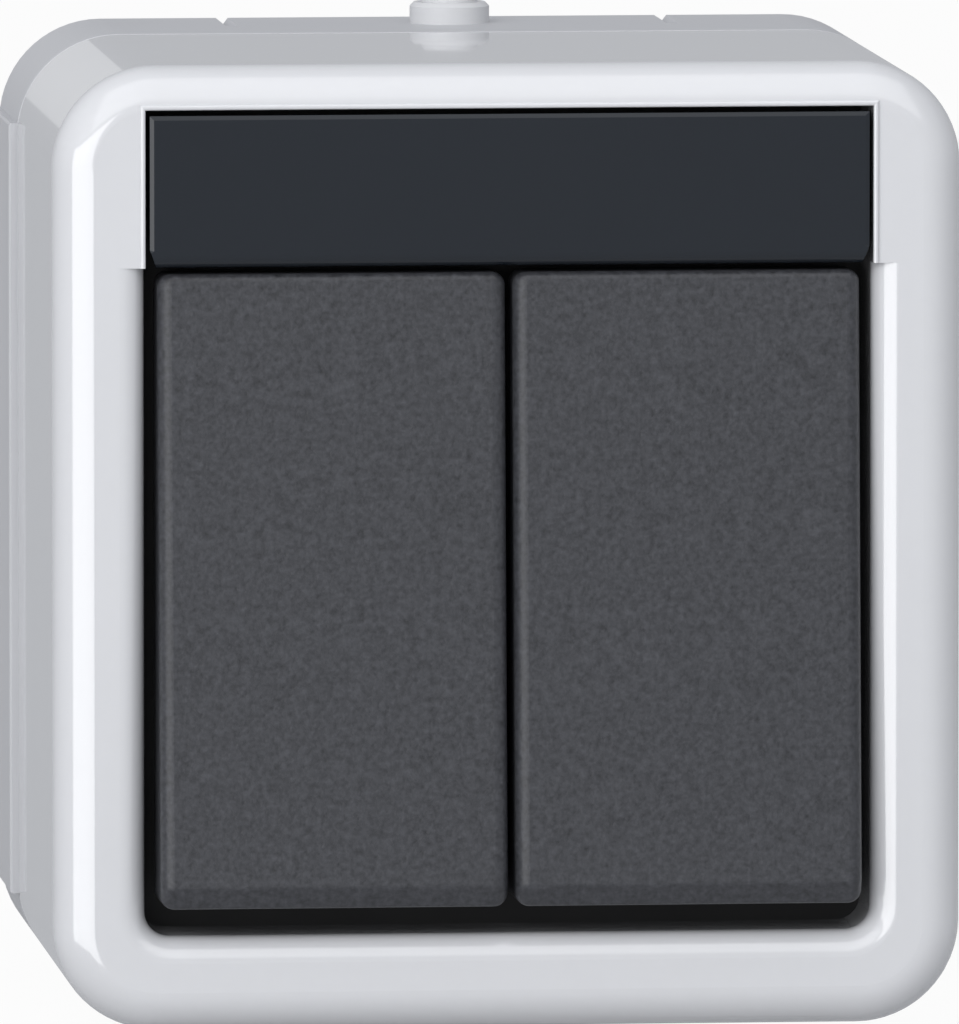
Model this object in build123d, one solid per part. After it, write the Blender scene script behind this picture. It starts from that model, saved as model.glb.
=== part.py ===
"""Surface-mounted home automation wall switch with two rockers.

A splash-proof plastic housing in two halves. The base box is fixed to the wall. The front
cover carries the device insert: a key carrier with two rockers, and behind it a circuit
board in its own housing, with the bus terminals at the rear.

Frame: origin at the middle of the face that lies on the wall, +X to the right seen from the
front, +Z up, and the front of the switch towards -Y. Lengths are in millimetres. "Depth" is
a distance from the wall, measured towards the front.
"""

from build123d import *
import os

# Housing
width = 66.0
height = 70.0
corner = 7.5
front_depth = 52.0
base_depth = 17.0
wall = 2.4
back_wall = 2.2
front_wall = 2.4
front_round = 2.9
joint_chamfer = 0.4

# Joint between base and cover: a tongue in a rebate, closed by a soft seal
tongue_inset = 1.3
tongue_rise = 3.0
tongue_clearance = 0.15
seal_height = 1.8
seal_side_gap = 0.1
hook_width = 8.0
hook_proud = 0.45
hook_depth = 1.2
hook_clearance = 0.1
hook_spacing = 30.0

# Fixing holes and cable entries in the base
fixing_spacing_x = 46.0
fixing_spacing_z = 36.0
fixing_radius = 2.2
fixing_pad_radius = 4.4
fixing_pad_rise = 1.0
knockout_radius = 8.0
knockout_groove = 0.8
knockout_drop = 1.2
knockout_score = 0.4
knockout_height = 6.0
notch_spacing = 32.8
notch_width = 0.9
notch_height = 0.6
notch_depth = 8.5
side_pad_length = 57.0
side_pad_rise = 0.6
side_pad_chamfer = 0.15

# Cable nipple in the top wall of the base
entry_depth = 6.4
entry_radius = 2.5
nipple_fit = 0.05
nipple_ring_radius = 2.95
nipple_ring_height = 1.55
nipple_ring_round = 0.3
nipple_height = 2.0
nipple_bore = 1.5
nipple_tip_radius = 2.1
nipple_tip_round = 0.25
nipple_flange_radius = 4.2
nipple_flange = 1.4

# Opening in the cover
border_side = 6.6
border_top = 3.1
border_bottom = 6.9
collar_wall = 1.2
collar_length = 8.0
lip_round = 1.9
opening_corner = 1.8
bead_width = 0.4
bead_rise = 0.2
bead_round = 0.18

# Label window
window_height = 11.0
window_side_gap = 0.3
window_top_gap = 0.4
window_plate = 1.5
window_proud = 0.25
window_bevel_width = 0.3
window_bevel_depth = 0.11
window_lower_round = 0.9
window_corner_cut = 0.5
window_corner_rise = 1.3
label_thickness = 0.35
label_margin = 1.2
tab_thickness = 0.8
tab_height = 4.0
tab_reach = 4.2
tab_barb = 0.4
window_tab_clearance = 0.1

# Rockers
rocker_side_gap = 0.9
rocker_middle_gap = 0.54
rocker_top_gap = 0.5
rocker_bottom_gap = 2.2
rocker_top_proud = -0.4
rocker_bottom_proud = 2.1
rocker_face = 1.8
rocker_wall = 1.1
rocker_top_round = 0.6
rocker_bottom_round = 0.4
rocker_bevel_height = 1.5
rocker_bevel_depth = 0.75
rocker_bevel_round = 0.9
rocker_side_round = 1.0
rocker_skirt_gap = 0.4
rocker_rib = 0.8
rocker_rib_spacing = 12.0

# Rocker pivot
pivot_sink = 5.5
pivot_radius = 1.0
pivot_clearance = 0.05
pivot_end_gap = 0.5
boss_width = 3.0
boss_radius = 2.1
boss_inset = 3.4
boss_mouth = 1.5
bearing_width = 2.4
bearing_radius = 2.0
bearing_gap = 1.0
bearing_mouth = 1.6
bearing_clearance = 0.02

# Key carrier
carrier_plate = 2.0
carrier_side_gap = 0.4
sleeve_radius = 3.0
shelf_wall = 1.2
leg_radius = 1.8

# Sprung plungers and the key switches under them
lever_arm = 14.0
plunger_radius = 1.3
plunger_clearance = 0.06
plunger_head_radius = 1.9
plunger_head = 0.8
plunger_tip_gap = 0.1
plunger_post_radius = 1.6
plunger_post_sink = 5.4
guide_wall = 0.9
guide_front = 1.0
guide_rear = 1.0
switch_size = 6.0
switch_height = 3.4
switch_stem_radius = 1.7
switch_stem_clearance = 0.06
switch_stem_proud = 0.9
switch_stem_sunk = 1.5
switch_well = 2.4

# Circuit board and insert housing
insert_side_space = 9.0
insert_bottom_space = 9.0
insert_top_space = 14.5
insert_wall = 1.4
insert_spare = 3.5
insert_corner = 2.0
board_to_carrier = 5.9
board = 1.6
board_gap = 0.5
board_corner = 1.0
post_radius = 2.0
post_inset = 3.2
ear_radius = 2.1
ear_thickness = 2.0

# Screws
cover_screw_radius = 1.5
cover_screw_inset = 1.35
cover_screw_from_top = 9.0
cover_screw_bite = 10.0
cover_head_radius = 2.75
cover_head = 1.9
base_post_radius = 3.5
base_post_proud = 1.0
insert_screw_radius = 1.25
insert_screw_from_edge = 4.9
insert_screw_bite = 4.0
insert_head_radius = 2.0
insert_head = 1.6
insert_screw_low = 11.0
insert_screw_high = 22.0
screw_clearance = 0.15
cover_post_radius = 2.3
recess_width = 0.8
recess_length = 2.6
recess_sink = 1.0

# Bus connection
terminal_width = 5.75
terminal_height = 11.5
terminal_length = 10.0
terminal_round = 0.5
terminal_from_bottom = 16.0
terminal_gap = 0.1
wire_hole_radius = 0.7
wire_hole_sink = 3.5
wire_hole_count = 4
pin_reach = 5.0
wire_hole_spacing = 2.6
pin_radius = 0.5
pin_clear_hole = 0.9

# Programming button and light
button_from_side = 10.0
button_from_bottom = 14.0
button_radius = 1.7
button_hole_clearance = 0.25
button_proud = 1.2
button_case = 6.0
button_case_height = 3.5
button_well = 2.0
button_stem_sunk = 1.2
button_clearance = 0.06
light_from_side = 10.0
light_from_bottom = 23.0
light_radius = 1.5
light_flange = 0.4
light_sink = 0.6
light_length = 4.6
light_leg_radius = 0.25
light_leg_spacing = 2.54

# Electronic parts on the rear of the board
controller_size = 8.0
controller_height = 1.2
controller_lead_count = 8
controller_from_side = 15.0
controller_from_top = 14.5
transceiver_length = 10.0
transceiver_width = 7.4
transceiver_height = 2.3
transceiver_lead_count = 10
transceiver_from_side = 16.0
transceiver_from_top = 11.5
lead_width = 0.35
lead_pitch = 0.8
lead_reach = 0.9
lead_thickness = 0.25
lead_drop = 0.5
capacitor_radius = 4.0
capacitor_height = 9.0
capacitor_from_side = 10.5
capacitor_from_bottom = 13.0
choke_radius = 3.6
choke_waist = 2.3
choke_height = 4.4
choke_flange = 0.9
choke_from_side = 10.0
choke_from_bottom = 23.4

# Places worked out from the sizes above
half_width = width / 2
half_height = height / 2
inner_width = width - 2 * wall
inner_height = height - 2 * wall
opening_half = half_width - border_side
opening_top = half_height - border_top
opening_bottom = -half_height + border_bottom
window_half = opening_half - window_side_gap
window_top = opening_top - window_top_gap
window_bottom = window_top - window_height
window_front = front_depth + window_proud
window_rear = window_front - window_plate
rocker_top = window_bottom - rocker_top_gap
rocker_bottom = opening_bottom + rocker_bottom_gap
rocker_outer = opening_half - rocker_side_gap
rocker_inner = rocker_middle_gap / 2
pivot_z = (rocker_top + rocker_bottom) / 2
pivot_depth = front_depth - pivot_sink
skirt_end = pivot_depth + pivot_radius + rocker_skirt_gap
carrier_front = front_depth - collar_length
carrier_rear = carrier_front - carrier_plate
board_front = carrier_rear - board_to_carrier
board_rear = board_front - board
insert_floor = board_rear - capacitor_height - insert_spare
insert_rear = insert_floor - insert_wall
insert_half = half_width - insert_side_space
insert_bottom = -half_height + insert_bottom_space
insert_top = half_height - insert_top_space
controller_x = controller_from_side - insert_half
controller_z = insert_top - controller_from_top
transceiver_x = insert_half - transceiver_from_side
transceiver_z = insert_top - transceiver_from_top
capacitor_x = capacitor_from_side - insert_half
capacitor_z = insert_bottom + capacitor_from_bottom
choke_x = choke_from_side - insert_half
choke_z = insert_bottom + choke_from_bottom
button_x = insert_half - button_from_side
button_z = insert_bottom + button_from_bottom
light_x = insert_half - light_from_side
light_z = insert_bottom + light_from_bottom
terminal_z = insert_bottom + terminal_from_bottom
shelf_half = window_half - tab_thickness
cover_screw_x = shelf_half - shelf_wall - cover_screw_inset - cover_head_radius
cover_screw_z = half_height - cover_screw_from_top
insert_screw_x = half_width - insert_screw_from_edge
insert_screw_zs = (-half_height + insert_screw_low, half_height - insert_screw_high)
base_post_end = base_depth + base_post_proud
tongue_end = base_depth + tongue_rise
seal_end = tongue_end + seal_height
key_zs = {"upper": pivot_z + lever_arm, "lower": pivot_z - lever_arm}
rocker_middle = (rocker_inner + rocker_outer) / 2
rocker_middles = {"left": -rocker_middle, "right": rocker_middle}
post_end = front_depth - plunger_post_sink
plunger_tip = post_end - plunger_tip_gap
switch_front = board_front + switch_height
stem_front = switch_front + switch_stem_proud


def prism(sketch, start, end):
    """Extrude a sketch, drawn in X and Z, from one depth to another."""
    return extrude(Plane.XZ.offset(start) * sketch, end - start)


def rounded_slab(w, h, r, start, end, x=0.0, z=0.0):
    return prism(Pos(x, z) * RectangleRounded(w, h, r), start, end)


def block(x0, x1, z0, z1, start, end):
    middle = Pos((x0 + x1) / 2, (z0 + z1) / 2)
    return prism(middle * Rectangle(abs(x1 - x0), abs(z1 - z0)), start, end)


def disc(radius, start, end, x=0.0, z=0.0):
    return prism(Pos(x, z) * Circle(radius), start, end)


def housing_slab(inset, start, end):
    """The outline of the housing, moved inwards by an inset."""
    return rounded_slab(width - 2 * inset, height - 2 * inset, corner - inset, start, end)


def turned_about_y(points, x, z):
    """A turned piece on an axis along the depth, from (radius, depth) points."""
    profile = make_face(Polyline(*[(r, -d) for r, d in points], close=True))
    return Pos(x, 0, z) * revolve(profile, Axis.Y)


def both_sides(make, *args):
    return [make(side, *args) for side in (-1, 1)]


def fixing_places():
    for x in (-fixing_spacing_x / 2, fixing_spacing_x / 2):
        for z in (-fixing_spacing_z / 2, fixing_spacing_z / 2):
            yield x, z


def insert_screw_places():
    for x in (-insert_screw_x, insert_screw_x):
        for z in insert_screw_zs:
            yield x, z


def hook(side, grow):
    """A catch at the foot of the base's tongue, or with grow its pocket in the cover."""
    x = side * hook_spacing / 2
    foot = -half_height + tongue_inset
    middle = base_depth + tongue_rise / 2
    return block(
        x - hook_width / 2 - grow,
        x + hook_width / 2 + grow,
        foot - hook_proud - grow,
        foot + tongue_inset / 2,
        middle - hook_depth / 2 - grow,
        middle + hook_depth / 2 + grow,
    )


def side_pad(side):
    """Raised flat of the base's side wall, between its rounded corners."""
    near, far = sorted((side * (half_width - wall / 2), side * (half_width + side_pad_rise)))
    half = side_pad_length / 2
    pad = block(near, far, -half, half, 0, base_depth)
    outside = pad.faces().sort_by(Axis.X)[-1 if side > 0 else 0]
    return chamfer(outside.edges(), side_pad_chamfer)


def make_base_box():
    body = housing_slab(0, 0, base_depth)
    body = chamfer(body.faces().sort_by(Axis.Y)[0].edges(), joint_chamfer)
    body -= housing_slab(wall, back_wall, base_depth)
    body += housing_slab(tongue_inset, base_depth - joint_chamfer, tongue_end) - housing_slab(
        wall, base_depth - joint_chamfer, tongue_end
    )
    for pad in both_sides(side_pad):
        body += pad
    for catch in both_sides(hook, 0.0):
        body += catch
    for side in (-1, 1):
        x = side * cover_screw_x
        body += disc(base_post_radius, back_wall, base_post_end, x, cover_screw_z)
        body += block(
            x - shelf_wall / 2,
            x + shelf_wall / 2,
            cover_screw_z + base_post_radius - shelf_wall,
            inner_height / 2,
            back_wall,
            base_post_end - tongue_inset,
        )
    for x, z in fixing_places():
        body += disc(fixing_pad_radius, back_wall, back_wall + fixing_pad_rise, x, z)
    for x, z in fixing_places():
        body -= disc(fixing_radius, 0, back_wall + fixing_pad_rise, x, z)
    for side in (-1, 1):
        x = side * cover_screw_x
        body -= disc(
            cover_screw_radius, base_post_end - cover_screw_bite, base_post_end, x, cover_screw_z
        )
    ring = Circle(knockout_radius) - Circle(knockout_radius - knockout_groove)
    body -= prism(Pos(0, knockout_height) * ring, back_wall - knockout_drop, back_wall)
    body -= prism(Pos(0, knockout_height) * ring, 0, knockout_score)
    for x in (-notch_spacing / 2, notch_spacing / 2):
        notch = Polyline(
            (x - notch_width / 2, half_height),
            (x, half_height - notch_height),
            (x + notch_width / 2, half_height),
            close=True,
        )
        body -= prism(make_face(notch), 0, notch_depth)
    entry = Pos(0, -entry_depth, half_height - wall / 2) * Cylinder(entry_radius, wall)
    return body - entry


def opening_outline(top, grow=0.0):
    """Outline of the cover's opening up to a height, with rounded lower corners."""
    w = 2 * (opening_half + grow)
    h = top - opening_bottom + grow
    outline = Pos(0, top - h / 2) * Rectangle(w, h)
    return fillet(outline.vertices().group_by(Axis.Y)[0], opening_corner + grow)


def rounded_lip():
    """What the rounded edge round the rockers takes away; the window's sides stay sharp."""
    start = front_depth - 2 * lip_round
    over = rocker_top + 3 * lip_round
    hole = opening_outline(over)
    around = opening_outline(over, 1.5 * lip_round)
    kept = prism(around - hole, start, front_depth)
    rim = kept.faces().sort_by(Axis.Y)[0].edges()
    inner = [
        edge
        for edge in rim
        if abs(edge.center().X) <= opening_half + 0.01
        and opening_bottom - 0.01 <= edge.center().Z < over - 0.01
    ]
    kept = fillet(inner, lip_round)
    limit = block(-half_width, half_width, -half_height, window_bottom, start, front_depth)
    return (prism(around, start, front_depth) - kept) & limit


def window_bead():
    """Fine raised edge of the cover along the top and both sides of the window."""
    low, high = window_bottom, opening_top + bead_width
    reach = opening_half + bead_width
    end = front_depth + bead_rise
    bead = block(-reach, reach, low, high, front_depth - lip_round / 2, end)
    bead -= block(-opening_half, opening_half, low, opening_top, front_depth - lip_round / 2, end)
    crest = bead.faces().sort_by(Axis.Y)[0].edges()
    along = [edge for edge in crest if edge.center().Z > low + bead_width / 2]
    return fillet(along, bead_round)


def make_front_cover():
    body = housing_slab(0, base_depth, front_depth)
    body = fillet(body.faces().sort_by(Axis.Y)[0].edges(), front_round)
    body = chamfer(body.faces().sort_by(Axis.Y)[-1].edges(), joint_chamfer)
    body -= housing_slab(wall, base_depth, front_depth - front_wall)
    body -= housing_slab(tongue_inset - tongue_clearance, base_depth, seal_end)
    collar_height = opening_top - opening_bottom + 2 * collar_wall
    body += rounded_slab(
        2 * (opening_half + collar_wall),
        collar_height,
        opening_corner + collar_wall,
        carrier_front,
        front_depth - front_wall,
        z=(opening_top + opening_bottom) / 2,
    ) & housing_slab(wall / 2, base_depth, front_depth)
    for x, z in insert_screw_places():
        body += disc(cover_post_radius, carrier_front, front_depth - front_wall, x, z)
    for x, z in insert_screw_places():
        end = carrier_front + insert_screw_bite
        body -= disc(insert_screw_radius, carrier_front, end, x, z)
    body -= prism(opening_outline(opening_top), carrier_front, front_depth)
    body -= rounded_lip()
    body += window_bead()
    for pocket in both_sides(hook, hook_clearance):
        body -= pocket
    return body


def make_housing_gasket():
    inset = tongue_inset + seal_side_gap
    return housing_slab(inset, tongue_end, seal_end) - housing_slab(wall, tongue_end, seal_end)


def make_cable_nipple():
    """Soft nipple pulled through the top wall; its flange lies against the inside."""
    inside = half_height - wall
    top = half_height + nipple_height
    ring_top = half_height + nipple_ring_height
    profile = make_face(
        Polyline(
            (nipple_bore, inside - nipple_flange),
            (nipple_flange_radius, inside - nipple_flange),
            (nipple_flange_radius, inside),
            (entry_radius - nipple_fit, inside),
            (entry_radius - nipple_fit, half_height),
            (nipple_ring_radius, half_height),
            (nipple_ring_radius, ring_top - nipple_ring_round),
            (nipple_ring_radius - nipple_ring_round, ring_top),
            (nipple_tip_radius, ring_top),
            (nipple_tip_radius, top - nipple_tip_round),
            (nipple_tip_radius - nipple_tip_round, top),
            (nipple_bore, top),
            close=True,
        )
    )
    return Pos(0, -entry_depth, 0) * revolve(Plane.XZ * profile, Axis.Z)


def window_tab(side, grow):
    """Snap tab at one end of the window, with its barb; with grow, its seat in the shelf."""
    x = side * window_half
    tip = window_rear - tab_reach
    middle = (window_top + window_bottom) / 2
    z0, z1 = middle - tab_height / 2 - grow, middle + tab_height / 2 + grow
    inner = x - side * (tab_thickness + grow)
    tab = block(min(x, inner), max(x, inner), z0, z1, tip - grow, window_rear)
    end = inner - side * tab_barb
    return tab + block(min(inner, end), max(inner, end), z0, z1, tip - grow, tip + tab_barb * 2 + grow)


def make_label_window():
    outline = Pos(0, (window_top + window_bottom) / 2) * Rectangle(2 * window_half, window_height)
    plate = prism(outline, window_rear, window_front)
    for side in (-1, 1):
        x = side * window_half
        cut = Polyline(
            (x, window_bottom + window_corner_rise),
            (x - side * window_corner_cut, window_bottom),
            (x, window_bottom),
            close=True,
        )
        plate -= prism(make_face(cut), window_rear, window_front)
    rim = plate.faces().sort_by(Axis.Y)[0].edges().sort_by(Axis.Z)
    plate = fillet(rim[0], window_lower_round)
    rim = plate.faces().sort_by(Axis.Y)[0].edges().sort_by(Axis.Z)
    top_and_sides = [e for e in rim if e.center().Z > window_bottom + window_corner_rise]
    face = plate.faces().sort_by(Axis.Y)[0]
    plate = chamfer(top_and_sides, window_bevel_width, window_bevel_depth, reference=face)
    for tab in both_sides(window_tab, 0.0):
        plate += tab
    return plate


def make_label_strip():
    w = 2 * (window_half - tab_thickness - label_margin)
    h = window_height - 2 * label_margin
    middle = (window_top + window_bottom) / 2
    return rounded_slab(w, h, label_thickness, window_rear - label_thickness, window_rear, z=middle)


def rocker_front(z):
    """Depth of the rocker's face at a height: the lower end stands further out."""
    share = (rocker_top - z) / (rocker_top - rocker_bottom)
    return front_depth + rocker_top_proud + share * (rocker_bottom_proud - rocker_top_proud)


def nearest(outline, x, y):
    """The corner of a flat outline that is nearest to a point."""
    return outline.vertices().sort_by_distance((x, y, 0))[0]


def rocker_outline(face_inset, wall_inset):
    """Side view of a rocker, moved in from its face and from its upper and lower ends."""
    upper, lower = rocker_top - wall_inset, rocker_bottom + wall_inset
    return make_face(
        Polyline(
            (-skirt_end, lower),
            (face_inset - rocker_front(rocker_bottom), lower),
            (face_inset - rocker_front(rocker_top), upper),
            (-skirt_end, upper),
            close=True,
        )
    )


def rocker_space(face_inset, wall_inset, rear):
    """The rocker's inside, from a depth behind its skirt to some way into its face."""
    w = rocker_outer - rocker_inner - 2 * wall_inset
    profile = rocker_outline(face_inset, wall_inset)
    behind = Pos((-rear - skirt_end) / 2, (rocker_top + rocker_bottom) / 2) * Rectangle(
        skirt_end - rear, rocker_top - rocker_bottom - 2 * wall_inset
    )
    return Pos(-w / 2, 0, 0) * extrude(Plane.YZ * (profile + behind), w)


def clip_boss(x):
    """Bearing boss under a rocker, bored for the rod and open at the rear to clip on."""
    x0, x1 = x - boss_width / 2, x + boss_width / 2
    tip = pivot_depth - boss_radius
    body = block(x0, x1, pivot_z - boss_radius, pivot_z + boss_radius, tip, front_depth)
    body = fillet(body.edges().filter_by(Axis.X).group_by(Axis.Y)[-1], boss_radius / 2)
    axis = Pos(x, -pivot_depth, pivot_z) * Rot(0, 90, 0)
    body -= axis * Cylinder(pivot_radius + pivot_clearance, boss_width)
    return body - block(x0, x1, pivot_z - boss_mouth / 2, pivot_z + boss_mouth / 2, tip, pivot_depth)


def make_rocker(side):
    """Moulded shell, its lower end further forward, with ribs, posts and bearing bosses."""
    w = rocker_outer - rocker_inner
    bevel_top = rocker_bottom + rocker_bevel_height
    top_front, bevel_front = -rocker_front(rocker_top), -rocker_front(bevel_top)
    bottom_front = rocker_bevel_depth - rocker_front(rocker_bottom)
    bevel = Polyline(
        (bevel_front, bevel_top),
        (bottom_front, rocker_bottom),
        (bottom_front, rocker_bottom - rocker_bevel_height),
        (bevel_front - rocker_face, rocker_bottom - rocker_bevel_height),
        (bevel_front - rocker_face, bevel_top),
        close=True,
    )
    profile = rocker_outline(0, 0) - make_face(bevel)
    profile = fillet(nearest(profile, bottom_front, rocker_bottom), rocker_bottom_round)
    profile = fillet(nearest(profile, bevel_front, bevel_top), rocker_bevel_round)
    profile = fillet(nearest(profile, top_front, rocker_top), rocker_top_round)
    body = Pos(-w / 2, 0, 0) * extrude(Plane.YZ * profile, w)
    ends = body.faces().filter_by(Axis.X)
    rims = [e for f in ends for e in f.edges() if e.center().Y < -skirt_end - rocker_side_round / 4]
    body = fillet(rims, rocker_side_round)
    body -= rocker_space(rocker_face, rocker_wall, skirt_end - rocker_wall)
    boss_x = w / 2 - boss_inset - boss_width / 2
    rib_end = skirt_end + rocker_rib
    fittings = [clip_boss(-boss_x), clip_boss(boss_x)]
    for z in key_zs.values():
        fittings.append(disc(plunger_post_radius, post_end, front_depth, 0, z))
    for z in (pivot_z - rocker_rib_spacing / 2, pivot_z + rocker_rib_spacing / 2):
        fittings.append(block(-w / 2, w / 2, z, z + rocker_rib, rib_end, front_depth + rocker_bottom_proud))
    space = rocker_space(rocker_face / 2, rocker_wall / 2, pivot_depth - 2 * boss_radius)
    for fitting in fittings:
        body += fitting & space
    return Pos(side * rocker_middle, 0, 0) * body


def make_pivot_rods():
    """A steel rod behind each rocker, as long as the rocker is wide inside."""
    rod = Cylinder(pivot_radius, rocker_outer - rocker_inner - 2 * (rocker_wall + pivot_end_gap))
    rod = chamfer(rod.edges().filter_by(GeomType.CIRCLE), pivot_radius / 4)
    lying = Rot(0, 90, 0) * rod
    return Compound(children=[Pos(x, -pivot_depth, pivot_z) * lying for x in rocker_middles.values()])


def rod_bearing(x):
    """Open-fronted lug that the rod snaps into."""
    x0, x1 = x - bearing_width / 2, x + bearing_width / 2
    front = pivot_depth + bearing_radius
    body = block(x0, x1, pivot_z - bearing_radius, pivot_z + bearing_radius, carrier_rear, front)
    body = fillet(body.edges().filter_by(Axis.X).group_by(Axis.Y)[0], bearing_radius / 3)
    axis = Pos(x, -pivot_depth, pivot_z) * Rot(0, 90, 0)
    body -= axis * Cylinder(pivot_radius + bearing_clearance, bearing_width)
    z = bearing_mouth / 2
    return body - block(x0, x1, pivot_z - z, pivot_z + z, pivot_depth, front)


def bearing_places():
    """Two lugs to each rocker, just inside its bearing bosses."""
    reach = (rocker_outer - rocker_inner) / 2 - boss_inset - boss_width
    reach -= bearing_gap + bearing_width / 2
    for middle in rocker_middles.values():
        yield middle - reach
        yield middle + reach


def make_key_carrier():
    """Frame behind the rockers: rod bearings, plunger guides, window shelf and sleeves."""
    side = inner_width / 2 - carrier_side_gap
    end = inner_height / 2 - carrier_side_gap
    body = rounded_slab(2 * side, 2 * end, corner - wall, carrier_rear, carrier_front)
    for x in bearing_places():
        body += rod_bearing(x)
    guide = plunger_radius + plunger_clearance
    for x in rocker_middles.values():
        for z in key_zs.values():
            front, rear = carrier_front + guide_front, carrier_rear - guide_rear
            body += disc(guide + guide_wall, rear, front, x, z)
    shelf_top, shelf_bottom = window_top - shelf_wall / 2, window_bottom + shelf_wall / 2
    shelf_end = window_rear - label_thickness
    body += block(-shelf_half, shelf_half, shelf_bottom, shelf_top, carrier_rear, shelf_end)
    body -= block(
        shelf_wall - shelf_half,
        shelf_half - shelf_wall,
        shelf_bottom + shelf_wall,
        shelf_top - shelf_wall,
        carrier_front,
        shelf_end,
    )
    for x in (-shelf_half / 3, shelf_half / 3):
        body += block(
            x - shelf_wall / 2, x + shelf_wall / 2, shelf_bottom, shelf_top, carrier_front, shelf_end
        )
    for seat in both_sides(window_tab, window_tab_clearance):
        body -= seat
    for x in (-cover_screw_x, cover_screw_x):
        body += disc(sleeve_radius, base_post_end, carrier_rear, x, cover_screw_z)
    for x, z in board_post_places():
        body += disc(leg_radius, board_front, carrier_rear, x, z)
    for x in rocker_middles.values():
        for z in key_zs.values():
            body -= disc(guide, carrier_rear - guide_rear, carrier_front + guide_front, x, z)
    for x in (-cover_screw_x, cover_screw_x):
        bore = cover_screw_radius + screw_clearance
        body -= disc(bore, base_post_end, carrier_front, x, cover_screw_z)
    for x, z in insert_screw_places():
        body -= disc(insert_screw_radius + screw_clearance, carrier_rear, carrier_front, x, z)
    return body


def make_plunger(x, z):
    """Headed pin with a domed tip, guided in the key carrier."""
    crown = plunger_head / 2
    shaft = disc(plunger_radius, stem_front, plunger_tip - crown, x, z)
    head = disc(plunger_head_radius, plunger_tip - plunger_head, plunger_tip, x, z)
    head = chamfer(head.edges().group_by(Axis.Y)[0], crown)
    return shaft + head


def make_switch_stem(x, z):
    stem = disc(switch_stem_radius, switch_front - switch_stem_sunk, stem_front, x, z)
    return chamfer(stem.edges().group_by(Axis.Y)[0], switch_stem_proud / 4)


def key_places():
    """Each key's name with its place, behind the middle of a rocker's upper or lower half."""
    for side, x in rocker_middles.items():
        for level, z in key_zs.items():
            yield f"{level}_{side}", x, z


def make_switch_cases():
    """Four push switches soldered to the front of the board."""
    cases = []
    well = switch_stem_radius + switch_stem_clearance
    for _, x, z in key_places():
        case = rounded_slab(switch_size, switch_size, board_gap, board_front, switch_front, x, z)
        case = chamfer(case.edges().group_by(Axis.Y)[0], board_gap / 2)
        cases.append(case - disc(well, switch_front - switch_well, switch_front, x, z))
    return Compound(children=cases)


def board_post_places():
    for x in (post_inset - insert_half, insert_half - post_inset):
        for z in (insert_bottom + post_inset, insert_top - post_inset):
            yield x, z


def pin_places():
    for x in (-terminal_width / 2 - terminal_gap / 2, terminal_width / 2 + terminal_gap / 2):
        yield x, terminal_z


def make_circuit_board():
    inset = insert_wall + board_gap
    w, h = 2 * (insert_half - inset), insert_top - insert_bottom - 2 * inset
    middle = (insert_top + insert_bottom) / 2
    body = rounded_slab(w, h, board_corner, board_rear, board_front, z=middle)
    for x, z in pin_places():
        body -= disc(pin_radius, board_rear, board_front, x, z)
    return body


def insert_ear(x, z):
    side = 1 if x > 0 else -1
    ear = disc(ear_radius, carrier_rear - ear_thickness, carrier_rear, x, z)
    near, far = sorted((side * (insert_half - insert_wall / 2), x))
    return ear + block(near, far, z - ear_radius, z + ear_radius, carrier_rear - ear_thickness, carrier_rear)


def make_insert_housing():
    """Open-fronted box screwed to the cover; it holds the board and the bus connection."""
    h = insert_top - insert_bottom
    middle = (insert_top + insert_bottom) / 2
    body = rounded_slab(2 * insert_half, h, insert_corner, insert_rear, carrier_rear, z=middle)
    body -= rounded_slab(
        2 * (insert_half - insert_wall),
        h - 2 * insert_wall,
        insert_corner - insert_wall / 2,
        insert_floor,
        carrier_rear,
        z=middle,
    )
    for x, z in insert_screw_places():
        body += insert_ear(x, z)
    for x, z in board_post_places():
        body += disc(post_radius, insert_floor, board_rear, x, z)
    for x, z in insert_screw_places():
        bore = insert_screw_radius + screw_clearance
        body -= disc(bore, carrier_rear - ear_thickness, carrier_rear, x, z)
    for x, z in pin_places():
        body -= disc(pin_clear_hole, insert_rear, insert_floor, x, z)
    hole = button_radius + button_hole_clearance
    body -= disc(hole, insert_rear, insert_floor, button_x, button_z)
    return body - disc(light_radius + screw_clearance, insert_rear, insert_floor, light_x, light_z)


def screw(x, z, under_head, tip, head_end, shank_radius, head_radius):
    """Pan-head screw with a cross recess, drawn without its thread."""
    way = 1 if head_end > under_head else -1
    shank = disc(shank_radius, min(tip, under_head), max(tip, under_head), x, z)
    end = shank.edges().filter_by(GeomType.CIRCLE).sort_by_distance((x, -tip, z))[0]
    shank = chamfer(end, shank_radius / 3)
    head = disc(head_radius, min(under_head, head_end), max(under_head, head_end), x, z)
    top = head.edges().filter_by(GeomType.CIRCLE).sort_by_distance((x, -head_end, z))[0]
    head = chamfer(top, abs(head_end - under_head) / 3)
    floor = head_end - way * recess_sink
    start, end = sorted((floor, head_end))
    for w, h in ((recess_length, recess_width), (recess_width, recess_length)):
        head -= block(x - w / 2, x + w / 2, z - h / 2, z + h / 2, start, end)
    return shank + head


def make_cover_screws():
    """Two long screws behind the label window hold the whole front on the base."""
    tip = base_post_end - cover_screw_bite
    head_end = carrier_front + cover_head
    return Compound(
        children=[
            screw(x, cover_screw_z, carrier_front, tip, head_end, cover_screw_radius, cover_head_radius)
            for x in (-cover_screw_x, cover_screw_x)
        ]
    )


def make_insert_screws():
    seat = carrier_rear - ear_thickness
    tip = carrier_front + insert_screw_bite
    return Compound(
        children=[
            screw(x, z, seat, tip, seat - insert_head, insert_screw_radius, insert_head_radius)
            for x, z in insert_screw_places()
        ]
    )


def make_bus_pins():
    end = insert_rear - pin_reach
    pins = [disc(pin_radius, end, board_front, x, z) for x, z in pin_places()]
    return Compound(children=pins)


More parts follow.
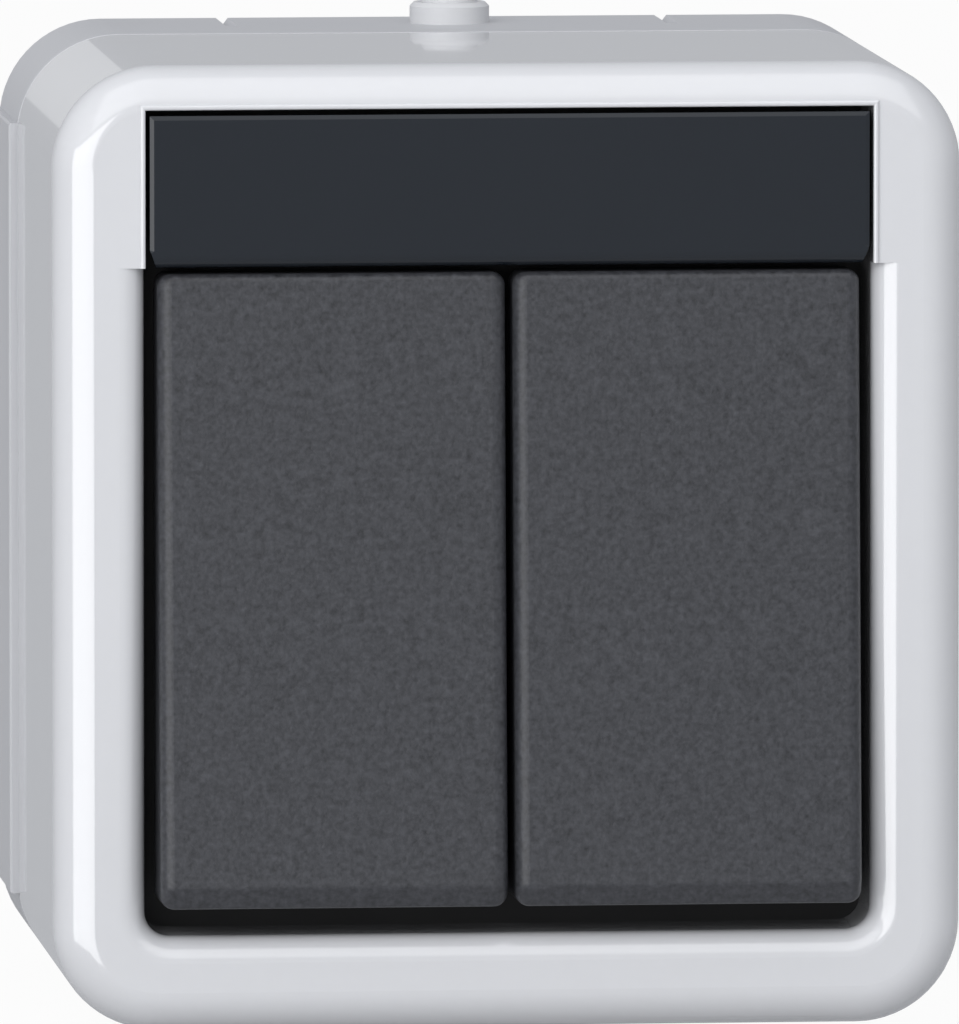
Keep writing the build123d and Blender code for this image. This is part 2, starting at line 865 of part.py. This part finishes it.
def make_bus_terminal(x, z):
    """Push-in terminal on one bus pin, with four wire holes in its rear."""
    start = insert_rear - terminal_length
    body = block(
        x - terminal_width / 2,
        x + terminal_width / 2,
        z - terminal_height / 2,
        z + terminal_height / 2,
        start,
        insert_rear,
    )
    body = fillet(body.edges().filter_by(Axis.Y), terminal_round)
    body = chamfer(body.faces().sort_by(Axis.Y)[-1].edges(), terminal_round / 2)
    body -= disc(pin_radius, insert_rear - pin_reach, insert_rear, x, z)
    for i in range(wire_hole_count):
        hole_z = z + (i - (wire_hole_count - 1) / 2) * wire_hole_spacing
        body -= disc(wire_hole_radius, start, start + wire_hole_sink, x, hole_z)
    return body


def make_programming_switch():
    seat = board_rear - button_case_height
    size = button_case
    body = rounded_slab(size, size, board_gap, seat, board_rear, button_x, button_z)
    well = button_radius + button_clearance
    return body - disc(well, seat, seat + button_well, button_x, button_z)


def make_programming_button():
    start = insert_rear - button_proud
    inner_end = board_rear - button_case_height + button_stem_sunk
    body = disc(button_radius, start, inner_end, button_x, button_z)
    return chamfer(body.edges().group_by(Axis.Y)[-1], button_radius / 4)


def make_programming_light():
    """Small round light: a domed body in the rear wall on two wire legs."""
    tip = insert_rear + light_sink
    foot = tip + light_length
    body = disc(light_radius, tip, foot, light_x, light_z)
    body = fillet(body.edges().group_by(Axis.Y)[-1], light_radius * 0.95)
    body += disc(light_radius + light_flange, foot - light_flange * 2, foot, light_x, light_z)
    for x in (light_x - light_leg_spacing / 2, light_x + light_leg_spacing / 2):
        body += disc(light_leg_radius, foot, board_rear, x, light_z)
    return body


def chip(length, breadth, height, x, z, leads_across, leads_along):
    """Moulded circuit on the rear of the board with a row of leads on two or four sides."""
    body = block(
        x - length / 2,
        x + length / 2,
        z - breadth / 2,
        z + breadth / 2,
        board_rear - height,
        board_rear - lead_drop / 2,
    )
    body = chamfer(body.faces().sort_by(Axis.Y)[-1].edges(), lead_thickness)
    for count, across, along, turned in (
        (leads_along, breadth, length, False),
        (leads_across, length, breadth, True),
    ):
        for i in range(count):
            place = (i - (count - 1) / 2) * lead_pitch
            out = across / 2 + lead_reach
            half = lead_width / 2
            start = board_rear - lead_drop
            if turned:
                body += block(x - out, x + out, z + place - half, z + place + half, start, board_rear)
            else:
                body += block(x + place - half, x + place + half, z - out, z + out, start, board_rear)
    return body


def make_microcontroller():
    size = controller_size
    leads = controller_lead_count
    return chip(size, size, controller_height, controller_x, controller_z, leads, leads)


def make_bus_transceiver():
    size = (transceiver_length, transceiver_width, transceiver_height)
    return chip(*size, transceiver_x, transceiver_z, 0, transceiver_lead_count)


def make_capacitor():
    """Electrolytic can on its plastic foot, with the crimp round its neck."""
    r, h = capacitor_radius, capacitor_height
    foot = board_rear
    return turned_about_y(
        [
            (0, foot),
            (r, foot),
            (r, foot - h / 7),
            (r * 0.86, foot - h / 5),
            (r, foot - h / 3.6),
            (r, foot - h + r / 10),
            (r * 0.9, foot - h),
            (0, foot - h),
        ],
        capacitor_x,
        capacitor_z,
    )


def make_choke():
    """Wound drum core of the bus filter."""
    r, h, f = choke_radius, choke_height, choke_flange
    foot = board_rear
    waist = (r + choke_waist) / 2
    return turned_about_y(
        [
            (0, foot),
            (r, foot),
            (r, foot - f),
            (waist, foot - f),
            (waist, foot - h + f),
            (r, foot - h + f),
            (r, foot - h),
            (0, foot - h),
        ],
        choke_x,
        choke_z,
    )


pieces = {
    "base_box": make_base_box(),
    "front_cover": make_front_cover(),
    "housing_gasket": make_housing_gasket(),
    "cable_nipple": make_cable_nipple(),
    "label_window": make_label_window(),
    "label_strip": make_label_strip(),
    "left_rocker": make_rocker(-1),
    "right_rocker": make_rocker(1),
    "pivot_rods": make_pivot_rods(),
    "key_carrier": make_key_carrier(),
    "key_switches": make_switch_cases(),
    "circuit_board": make_circuit_board(),
    "insert_housing": make_insert_housing(),
    "cover_screws": make_cover_screws(),
    "insert_screws": make_insert_screws(),
    "bus_pins": make_bus_pins(),
    "programming_switch": make_programming_switch(),
    "programming_button": make_programming_button(),
    "programming_light": make_programming_light(),
    "microcontroller": make_microcontroller(),
    "bus_transceiver": make_bus_transceiver(),
    "capacitor": make_capacitor(),
    "choke_coil": make_choke(),
}
for key, x, z in key_places():
    pieces[f"plunger_{key}"] = make_plunger(x, z)
    pieces[f"switch_stem_{key}"] = make_switch_stem(x, z)
for colour, (x, z) in zip(("red", "black"), pin_places()):
    pieces[f"bus_terminal_{colour}"] = make_bus_terminal(x, z)

os.makedirs("parts", exist_ok=True)
for node, shape in pieces.items():
    export_step(shape, f"parts/{node}.step")
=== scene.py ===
import math

import bmesh
import bpy
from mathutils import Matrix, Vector


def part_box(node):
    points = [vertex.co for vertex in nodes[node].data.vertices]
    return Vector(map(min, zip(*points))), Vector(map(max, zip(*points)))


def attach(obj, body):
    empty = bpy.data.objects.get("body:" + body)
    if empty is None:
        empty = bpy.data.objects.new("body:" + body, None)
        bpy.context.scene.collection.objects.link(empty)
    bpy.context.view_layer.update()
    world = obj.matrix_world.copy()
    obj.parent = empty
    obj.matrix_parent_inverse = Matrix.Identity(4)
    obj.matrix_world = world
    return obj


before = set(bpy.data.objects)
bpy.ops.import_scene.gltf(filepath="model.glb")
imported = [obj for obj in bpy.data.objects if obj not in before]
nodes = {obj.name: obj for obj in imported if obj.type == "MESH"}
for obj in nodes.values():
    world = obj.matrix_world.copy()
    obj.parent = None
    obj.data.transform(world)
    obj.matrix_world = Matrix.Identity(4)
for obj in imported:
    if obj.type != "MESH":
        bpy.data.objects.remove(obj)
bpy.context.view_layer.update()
MM = 0.001

# Camera
# A long lens, a little to the left of the switch and above it, as the product was shot.
# The picture's middle falls on the point AIM of the front plane.

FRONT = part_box("front_cover")[0].y
AIM = Vector((-2.24 * MM, FRONT, 2.68 * MM))
SHOT_DISTANCE = 1.6
SHOT_LEFT = math.radians(5.6)
SHOT_ABOVE = math.radians(5.2)
SHOT_WIDTH = 69.3 * MM
SENSOR = 36.0

towards_camera = Vector(
    (
        -math.sin(SHOT_LEFT) * math.cos(SHOT_ABOVE),
        -math.cos(SHOT_LEFT) * math.cos(SHOT_ABOVE),
        math.sin(SHOT_ABOVE),
    )
)
lens = bpy.data.cameras.new("long_lens")
lens.sensor_fit = "HORIZONTAL"
lens.sensor_width = SENSOR
lens.lens = SENSOR * SHOT_DISTANCE / SHOT_WIDTH
lens.clip_start, lens.clip_end = 0.05, 20.0
camera = bpy.data.objects.new("camera", lens)
bpy.context.scene.collection.objects.link(camera)
camera.location = AIM + towards_camera * SHOT_DISTANCE
camera.rotation_euler = towards_camera.to_track_quat("Z", "Y").to_euler()
bpy.context.scene.camera = camera
bpy.context.scene.view_settings.view_transform = "Standard"


# Studio
# White sweep that the switch stands on, plain grey surroundings, soft boxes at the front left
# and above, and a faint card behind it that the rounded upper left corner mirrors.

FLOOR_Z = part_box("front_cover")[0].z - 0.3 * MM
FLOOR_REACH = 1.5
SWEEP_GREY = 0.5
SWEEP_WHITE_SHARE = 0.96
ROOM_COLOUR = (0.93, 0.95, 1.0)
ROOM_STRENGTH = 0.49
MIDDLE = Vector((0, FRONT / 2, 0))


def new_material(name):
    material = bpy.data.materials.new(name)
    material.use_nodes = True
    material.node_tree.nodes.clear()
    return material, material.node_tree.nodes, material.node_tree.links


def sweep_material():
    """White paper that keeps the shadow, nearly pure white to the camera and clear from below."""
    material, tree, link = new_material("white_sweep")
    paper = tree.new("ShaderNodeBsdfDiffuse")
    paper.inputs["Color"].default_value = (SWEEP_GREY, SWEEP_GREY, SWEEP_GREY, 1)
    white = tree.new("ShaderNodeEmission")
    clear = tree.new("ShaderNodeBsdfTransparent")
    path = tree.new("ShaderNodeLightPath")
    side = tree.new("ShaderNodeNewGeometry")
    share = tree.new("ShaderNodeMath")
    share.operation = "MULTIPLY"
    share.inputs[1].default_value = SWEEP_WHITE_SHARE
    front, whole = tree.new("ShaderNodeMixShader"), tree.new("ShaderNodeMixShader")
    out = tree.new("ShaderNodeOutputMaterial")
    link.new(path.outputs["Is Camera Ray"], share.inputs[0])
    link.new(share.outputs[0], front.inputs[0])
    link.new(paper.outputs[0], front.inputs[1])
    link.new(white.outputs[0], front.inputs[2])
    link.new(side.outputs["Backfacing"], whole.inputs[0])
    link.new(front.outputs[0], whole.inputs[1])
    link.new(clear.outputs[0], whole.inputs[2])
    link.new(whole.outputs[0], out.inputs["Surface"])
    return material


def make_floor():
    sheet = bmesh.new()
    bmesh.ops.create_grid(sheet, x_segments=1, y_segments=1, size=FLOOR_REACH)
    bmesh.ops.translate(sheet, verts=sheet.verts, vec=(0, 0, FLOOR_Z))
    mesh = bpy.data.meshes.new("floor")
    sheet.to_mesh(mesh)
    sheet.free()
    floor = bpy.data.objects.new("floor", mesh)
    bpy.context.scene.collection.objects.link(floor)
    mesh.materials.append(sweep_material())
    floor.visible_glossy = False


def soft_box(name, *, place, size, power, mirrored=True):
    """Rectangular area lamp that faces the switch. The mirrored ones show in its glossy walls."""
    data = bpy.data.lights.new(name, "AREA")
    data.shape = "RECTANGLE"
    data.size, data.size_y = size
    data.energy = power
    lamp = bpy.data.objects.new(name, data)
    bpy.context.scene.collection.objects.link(lamp)
    lamp.location = place
    lamp.rotation_euler = (Vector(place) - MIDDLE).to_track_quat("Z", "Y").to_euler()
    lamp.visible_glossy = mirrored
    lamp.visible_camera = False


def room_light():
    """Grey surroundings that light the switch, white where the camera sees past it."""
    world = bpy.data.worlds.new("room")
    world.use_nodes = True
    tree, link = world.node_tree.nodes, world.node_tree.links
    tree.clear()
    room = tree.new("ShaderNodeBackground")
    room.inputs["Color"].default_value = (*ROOM_COLOUR, 1)
    room.inputs["Strength"].default_value = ROOM_STRENGTH
    white = tree.new("ShaderNodeBackground")
    white.inputs["Color"].default_value = (1, 1, 1, 1)
    path = tree.new("ShaderNodeLightPath")
    mix = tree.new("ShaderNodeMixShader")
    out = tree.new("ShaderNodeOutputWorld")
    link.new(path.outputs["Is Camera Ray"], mix.inputs[0])
    link.new(room.outputs[0], mix.inputs[1])
    link.new(white.outputs[0], mix.inputs[2])
    link.new(mix.outputs[0], out.inputs["Surface"])
    bpy.context.scene.world = world


make_floor()
room_light()
soft_box("key_box", place=(-0.72, -1.12, -0.03), size=(1.35, 0.66), power=6.0)
soft_box("fill_box", place=(-0.72, -1.12, 0.6), size=(1.35, 0.6), power=10.0, mirrored=False)
soft_box("top_box", place=(0.05, -0.75, 0.95), size=(1.9, 1.6), power=6.3)
soft_box("corner_card", place=(-0.12, 1.5, 0.15), size=(0.26, 0.22), power=0.034)


# Grain and mottle
# Fine surface texture of a moulded part: small bumps left by the tool, a slow change of
# colour through the plastic, and patches that are a little more or less shiny.


def texture_group():
    group = bpy.data.node_groups.new("moulded_surface", "ShaderNodeTree")
    sockets = group.interface
    sockets.new_socket("Colour", in_out="INPUT", socket_type="NodeSocketColor")
    for name, value in (
        ("Grain size", 0.4),
        ("Mottle", 0.04),
        ("Mottle size", 12.0),
        ("Roughness", 0.3),
        ("Roughness spread", 0.05),
    ):
        socket = sockets.new_socket(name, in_out="INPUT", socket_type="NodeSocketFloat")
        socket.default_value = value
    sockets.new_socket("Colour", in_out="OUTPUT", socket_type="NodeSocketColor")
    sockets.new_socket("Roughness", in_out="OUTPUT", socket_type="NodeSocketFloat")
    sockets.new_socket("Height", in_out="OUTPUT", socket_type="NodeSocketFloat")
    tree, link = group.nodes, group.links
    given, out = tree.new("NodeGroupInput"), tree.new("NodeGroupOutput")
    place = tree.new("ShaderNodeTexCoord")

    def maths(kind, a, b):
        node = tree.new("ShaderNodeMath")
        node.operation = kind
        for socket, value in zip(node.inputs, (a, b)):
            if isinstance(value, (int, float)):
                socket.default_value = value
            else:
                link.new(value, socket)
        return node.outputs[0]

    def noise(size_mm, detail):
        node = tree.new("ShaderNodeTexNoise")
        link.new(place.outputs["Object"], node.inputs["Vector"])
        link.new(maths("DIVIDE", 1 / MM, size_mm), node.inputs["Scale"])
        node.inputs["Detail"].default_value = detail
        return node.outputs["Fac"]

    grain = noise(given.outputs["Grain size"], 3.0)
    patches = noise(given.outputs["Mottle size"], 2.0)
    centred = maths("SUBTRACT", patches, 0.5)
    fine = maths("SUBTRACT", grain, 0.5)
    shade = maths("MULTIPLY", maths("ADD", centred, fine), given.outputs["Mottle"])
    colour = tree.new("ShaderNodeVectorMath")
    colour.operation = "SCALE"
    link.new(given.outputs["Colour"], colour.inputs[0])
    link.new(maths("ADD", shade, 1.0), colour.inputs["Scale"])
    spread = maths("MULTIPLY", centred, given.outputs["Roughness spread"])
    link.new(colour.outputs[0], out.inputs["Colour"])
    link.new(maths("ADD", given.outputs["Roughness"], spread), out.inputs["Roughness"])
    link.new(grain, out.inputs["Height"])
    return group


MOULDED = texture_group()
COAT_ROUGHNESS = 0.05
COAT_IOR = 1.8


def moulded(name, colour, *, grain, height, mottle, patch, rough, spread, coat=0.0, metallic=0.0):
    """Moulded or metal finish; grain, height and patch are sizes of its texture in millimetres."""
    material, tree, link = new_material(name)
    skin = tree.new("ShaderNodeGroup")
    skin.node_tree = MOULDED
    skin.inputs["Colour"].default_value = (*colour, 1)
    for socket, value in (
        ("Grain size", grain),
        ("Mottle", mottle),
        ("Mottle size", patch),
        ("Roughness", rough),
        ("Roughness spread", spread),
    ):
        skin.inputs[socket].default_value = value
    bump = tree.new("ShaderNodeBump")
    bump.inputs["Distance"].default_value = height * MM
    shader = tree.new("ShaderNodeBsdfPrincipled")
    shader.inputs["Metallic"].default_value = metallic
    shader.inputs["Coat Weight"].default_value = coat
    shader.inputs["Coat Roughness"].default_value = COAT_ROUGHNESS
    shader.inputs["Coat IOR"].default_value = COAT_IOR
    out = tree.new("ShaderNodeOutputMaterial")
    link.new(skin.outputs["Colour"], shader.inputs["Base Color"])
    link.new(skin.outputs["Roughness"], shader.inputs["Roughness"])
    link.new(skin.outputs["Height"], bump.inputs["Height"])
    link.new(bump.outputs["Normal"], shader.inputs["Normal"])
    link.new(shader.outputs[0], out.inputs["Surface"])
    return material


def dress(material, *names):
    for name in names:
        nodes[name].data.materials.clear()
        nodes[name].data.materials.append(material)


# Housing
# Base and cover, injection moulded in light grey polycarbonate. The cover is polished in the
# tool, and the base behind it has a duller skin. The base's grey is painted darker than the
# cover's, as painted shade on its side walls that lean away from the light.

GREY = (0.66, 0.667, 0.69)
polished = moulded(
    "grey_cover",
    GREY,
    grain=1.1,
    height=0.004,
    mottle=0.02,
    patch=9.0,
    rough=0.24,
    spread=0.06,
    coat=1.0,
)
dress(polished, "front_cover")
# Painted shade: this grey is darker than the cover's to stand in for the shade on the base's side
# walls.
SHADED_BASE_GREY = (0.52, 0.526, 0.548)
dull = moulded(
    "grey_base", SHADED_BASE_GREY, grain=0.5, height=0.008, mottle=0.03, patch=7.0, rough=0.4, spread=0.08
)
dress(dull, "base_box")


# Rockers
# Anthracite plastic from an eroded tool: a fine even grain with a slight sheen. Each clips on
# the steel rod behind it.

ANTHRACITE = (0.0425, 0.044, 0.05)
anthracite = moulded(
    "anthracite_grain",
    ANTHRACITE,
    grain=0.3,
    height=0.025,
    mottle=1.15,
    patch=0.55,
    rough=0.38,
    spread=0.15,
)
dress(anthracite, "left_rocker", "right_rocker")


# Label window
# Smoke-tinted cover with a smooth face, injection moulded and snapped in over a blank dark card.

SMOKE = (0.011, 0.0145, 0.02)
smoke = moulded(
    "smoke_window", SMOKE, grain=2.0, height=0.002, mottle=0.05, patch=10.0, rough=0.12, spread=0.03
)
dress(smoke, "label_window")
CARD = (0.05, 0.05, 0.055)
card = moulded(
    "dark_card", CARD, grain=0.3, height=0.01, mottle=0.1, patch=5.0, rough=0.8, spread=0.05
)
dress(card, "label_strip")


# Cable nipple and seal
# Soft grey elastomer, slightly dull. The nipple is pushed into the top wall, and the seal lies
# in the joint between base and cover.

SOFT_GREY = (0.6, 0.605, 0.62)
soft = moulded(
    "grey_elastomer",
    SOFT_GREY,
    grain=0.5,
    height=0.008,
    mottle=0.04,
    patch=5.0,
    rough=0.38,
    spread=0.08,
)
dress(soft, "cable_nipple", "housing_gasket")


# Key mechanism
# Moulded black glass-filled frame, switches and insert housing, with plungers, switch stems
# and programming button of white acetal that slide in them.

BLACK = (0.003, 0.003, 0.0035)
black = moulded(
    "black_frame", BLACK, grain=0.3, height=0.012, mottle=0.2, patch=6.0, rough=0.55, spread=0.1
)
dress(black, "key_carrier", "insert_housing", "key_switches", "programming_switch")
WHITE = (0.7, 0.7, 0.69)
acetal = moulded(
    "white_acetal", WHITE, grain=0.6, height=0.004, mottle=0.03, patch=5.0, rough=0.35, spread=0.06
)
keys = [name for name in nodes if name.startswith(("plunger_", "switch_stem_"))]
dress(acetal, "programming_button", *keys)


# Steel parts
# The rods that the rockers clip on and the screws. They are turned or cold-headed steel,
# zinc-plated and lightly brushed.


def metal(name, colour, *, grain, rough):
    """Bare or plated metal with the same fine brushing."""
    return moulded(
        name,
        colour,
        grain=grain,
        height=0.004,
        mottle=0.15,
        patch=3.0,
        rough=rough,
        spread=0.15,
        metallic=1.0,
    )


STEEL = (0.6, 0.6, 0.6)
steel = metal("plated_steel", STEEL, grain=0.2, rough=0.32)
dress(steel, "pivot_rods", "cover_screws", "insert_screws")


# Circuit board and its parts
# Green solder resist over glass fibre, circuits in black epoxy and a red light, all with
# tinned leads, a capacitor in a plain aluminium can and a drum core of ferrite.

RESIST = (0.015, 0.11, 0.05)
resist = moulded(
    "solder_resist", RESIST, grain=0.5, height=0.006, mottle=0.25, patch=4.0, rough=0.3, spread=0.1
)
dress(resist, "circuit_board")
TIN = (0.62, 0.61, 0.58)


def tin_leads(material, low, high):
    """Makes the material tinned metal outside the box from low to high, where the leads are."""
    tree, link = material.node_tree.nodes, material.node_tree.links
    skin = next(node for node in tree if node.type == "GROUP")
    shader = next(node for node in tree if node.type == "BSDF_PRINCIPLED")
    place, axes = tree.new("ShaderNodeTexCoord"), tree.new("ShaderNodeSeparateXYZ")
    link.new(place.outputs["Object"], axes.inputs[0])
    inside = []
    for axis, lowest, highest in zip(axes.outputs, low, high):
        within = tree.new("ShaderNodeMath")
        within.operation = "COMPARE"
        within.inputs[1].default_value = (lowest + highest) / 2
        within.inputs[2].default_value = (highest - lowest) / 2
        link.new(axis, within.inputs[0])
        inside.append(within.outputs[0])
    body = inside[0]
    for other in inside[1:]:
        both = tree.new("ShaderNodeMath")
        both.operation = "MULTIPLY"
        link.new(body, both.inputs[0])
        link.new(other, both.inputs[1])
        body = both.outputs[0]
    leads = tree.new("ShaderNodeMath")
    leads.operation = "SUBTRACT"
    leads.inputs[0].default_value = 1.0
    tint = tree.new("ShaderNodeMix")
    tint.data_type = "RGBA"
    tint.inputs[6].default_value = (*TIN, 1)
    link.new(body, leads.inputs[1])
    link.new(body, tint.inputs[0])
    link.new(skin.outputs["Colour"], tint.inputs[7])
    link.new(tint.outputs[2], shader.inputs["Base Color"])
    link.new(leads.outputs[0], shader.inputs["Metallic"])


EPOXY = (0.02, 0.02, 0.021)
LEAD_REACH = 0.85 * MM
PAST = 1.0 * MM  # of a body's box beyond the sides that have no leads
for name, inset in (
    ("microcontroller", Vector((LEAD_REACH, -PAST, LEAD_REACH))),
    ("bus_transceiver", Vector((-PAST, -PAST, LEAD_REACH))),
):
    epoxy = moulded(
        f"{name}_epoxy",
        EPOXY,
        grain=0.12,
        height=0.008,
        mottle=0.2,
        patch=2.0,
        rough=0.6,
        spread=0.1,
    )
    low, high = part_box(name)
    tin_leads(epoxy, low + inset, high - inset)
    dress(epoxy, name)

LENS = (0.5, 0.02, 0.015)
LENS_LENGTH = 4.65 * MM
lens_red = moulded(
    "red_lens", LENS, grain=0.8, height=0.002, mottle=0.03, patch=3.0, rough=0.12, spread=0.03
)
low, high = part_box("programming_light")
lens_low = Vector((low.x - PAST, high.y - LENS_LENGTH, low.z - PAST))
tin_leads(lens_red, lens_low, high + Vector((PAST, PAST, PAST)))
dress(lens_red, "programming_light")

ALUMINIUM = (0.62, 0.62, 0.64)
dress(metal("capacitor_can", ALUMINIUM, grain=0.15, rough=0.3), "capacitor")
FERRITE = (0.05, 0.045, 0.042)
ferrite = moulded(
    "ferrite", FERRITE, grain=0.2, height=0.02, mottle=0.3, patch=2.0, rough=0.7, spread=0.1
)
dress(ferrite, "choke_coil")


# Choke winding
# Enamelled copper wire wound between the flanges of the drum core: a rounded section spun round
# the waist, with the ridges of the single turns in its material and painted shade in the grooves
# between them.

CORE_FLANGE = 0.9 * MM
CORE_WAIST = 2.95 * MM
WINDING_THICKNESS = 0.45 * MM
WINDING_FILL = 0.96
WINDING_ROUND = 0.3 * WINDING_THICKNESS
WINDING_RADIUS = CORE_WAIST + 0.55 * WINDING_THICKNESS
WINDING_STEPS = 64
WIRE_PITCH = 0.25 * MM


def make_winding():
    low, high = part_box("choke_coil")
    room = high.y - low.y - 2 * CORE_FLANGE
    turns = bmesh.new()
    bmesh.ops.create_grid(turns, x_segments=1, y_segments=1, size=0.5)
    bmesh.ops.scale(turns, verts=turns.verts, vec=(WINDING_THICKNESS, room * WINDING_FILL, 1))
    bmesh.ops.bevel(
        turns,
        geom=turns.verts[:],
        offset=WINDING_ROUND,
        affect="VERTICES",
        segments=3,
        profile=0.5,
        material=-1,
    )
    bmesh.ops.translate(turns, verts=turns.verts, vec=(WINDING_RADIUS, 0, 0))
    bmesh.ops.delete(turns, geom=turns.faces[:], context="FACES_ONLY")
    bmesh.ops.spin(
        turns,
        geom=turns.verts[:] + turns.edges[:],
        cent=(0, 0, 0),
        axis=(0, 1, 0),
        angle=math.tau,
        steps=WINDING_STEPS,
        use_merge=True,
    )
    bmesh.ops.translate(turns, verts=turns.verts, vec=(low + high) / 2)
    bmesh.ops.recalc_face_normals(turns, faces=turns.faces)
    for face in turns.faces:
        face.smooth = True
    mesh = bpy.data.meshes.new("choke_winding")
    turns.to_mesh(mesh)
    turns.free()
    winding = bpy.data.objects.new("choke_winding", mesh)
    bpy.context.scene.collection.objects.link(winding)
    return winding


# Painted shade: the groove colour darkens the copper between the turns, where shade falls.
SHADED_COPPER_GROOVE = (0.25, 0.06, 0.025)
COPPER_CREST = (0.66, 0.2, 0.075)
WAVE_LENGTH = math.tau / 20  # of the wave texture's bands at a scale of 1


def enamelled_copper():
    """Copper with the ridges of its turns, painted shade in the grooves between them, and a thin
    clear enamel.
    """
    material, tree, link = new_material("enamelled_copper")
    place = tree.new("ShaderNodeTexCoord")
    ridges = tree.new("ShaderNodeTexWave")
    ridges.bands_direction = "Y"
    ridges.inputs["Scale"].default_value = WAVE_LENGTH / WIRE_PITCH
    ridges.inputs["Distortion"].default_value = 0.3
    tint = tree.new("ShaderNodeMix")
    tint.data_type = "RGBA"
    tint.inputs[6].default_value = (*SHADED_COPPER_GROOVE, 1)
    tint.inputs[7].default_value = (*COPPER_CREST, 1)
    bump = tree.new("ShaderNodeBump")
    bump.inputs["Distance"].default_value = WIRE_PITCH / 3
    shader = tree.new("ShaderNodeBsdfPrincipled")
    shader.inputs["Metallic"].default_value = 0.8
    shader.inputs["Roughness"].default_value = 0.28
    out = tree.new("ShaderNodeOutputMaterial")
    link.new(place.outputs["Object"], ridges.inputs["Vector"])
    link.new(ridges.outputs["Fac"], tint.inputs[0])
    link.new(tint.outputs[2], shader.inputs["Base Color"])
    link.new(ridges.outputs["Fac"], bump.inputs["Height"])
    link.new(bump.outputs["Normal"], shader.inputs["Normal"])
    link.new(shader.outputs[0], out.inputs["Surface"])
    return material


winding = make_winding()
winding.data.materials.append(enamelled_copper())
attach(winding, "housing")


# Bus connection
# Tinned brass pins from the board, and the pair of push-in terminals on them, moulded in red
# and black plastic.

BRASS = (0.66, 0.6, 0.42)
dress(metal("tinned_brass", BRASS, grain=0.2, rough=0.28), "bus_pins")
for shade, colour, mottle in (
    ("red", (0.42, 0.02, 0.018), 0.08),
    ("black", (0.022, 0.022, 0.024), 0.1),
):
    terminal = moulded(
        f"{shade}_terminal",
        colour,
        grain=0.4,
        height=0.006,
        mottle=mottle,
        patch=3.0,
        rough=0.38,
        spread=0.08,
    )
    dress(terminal, f"bus_terminal_{shade}")
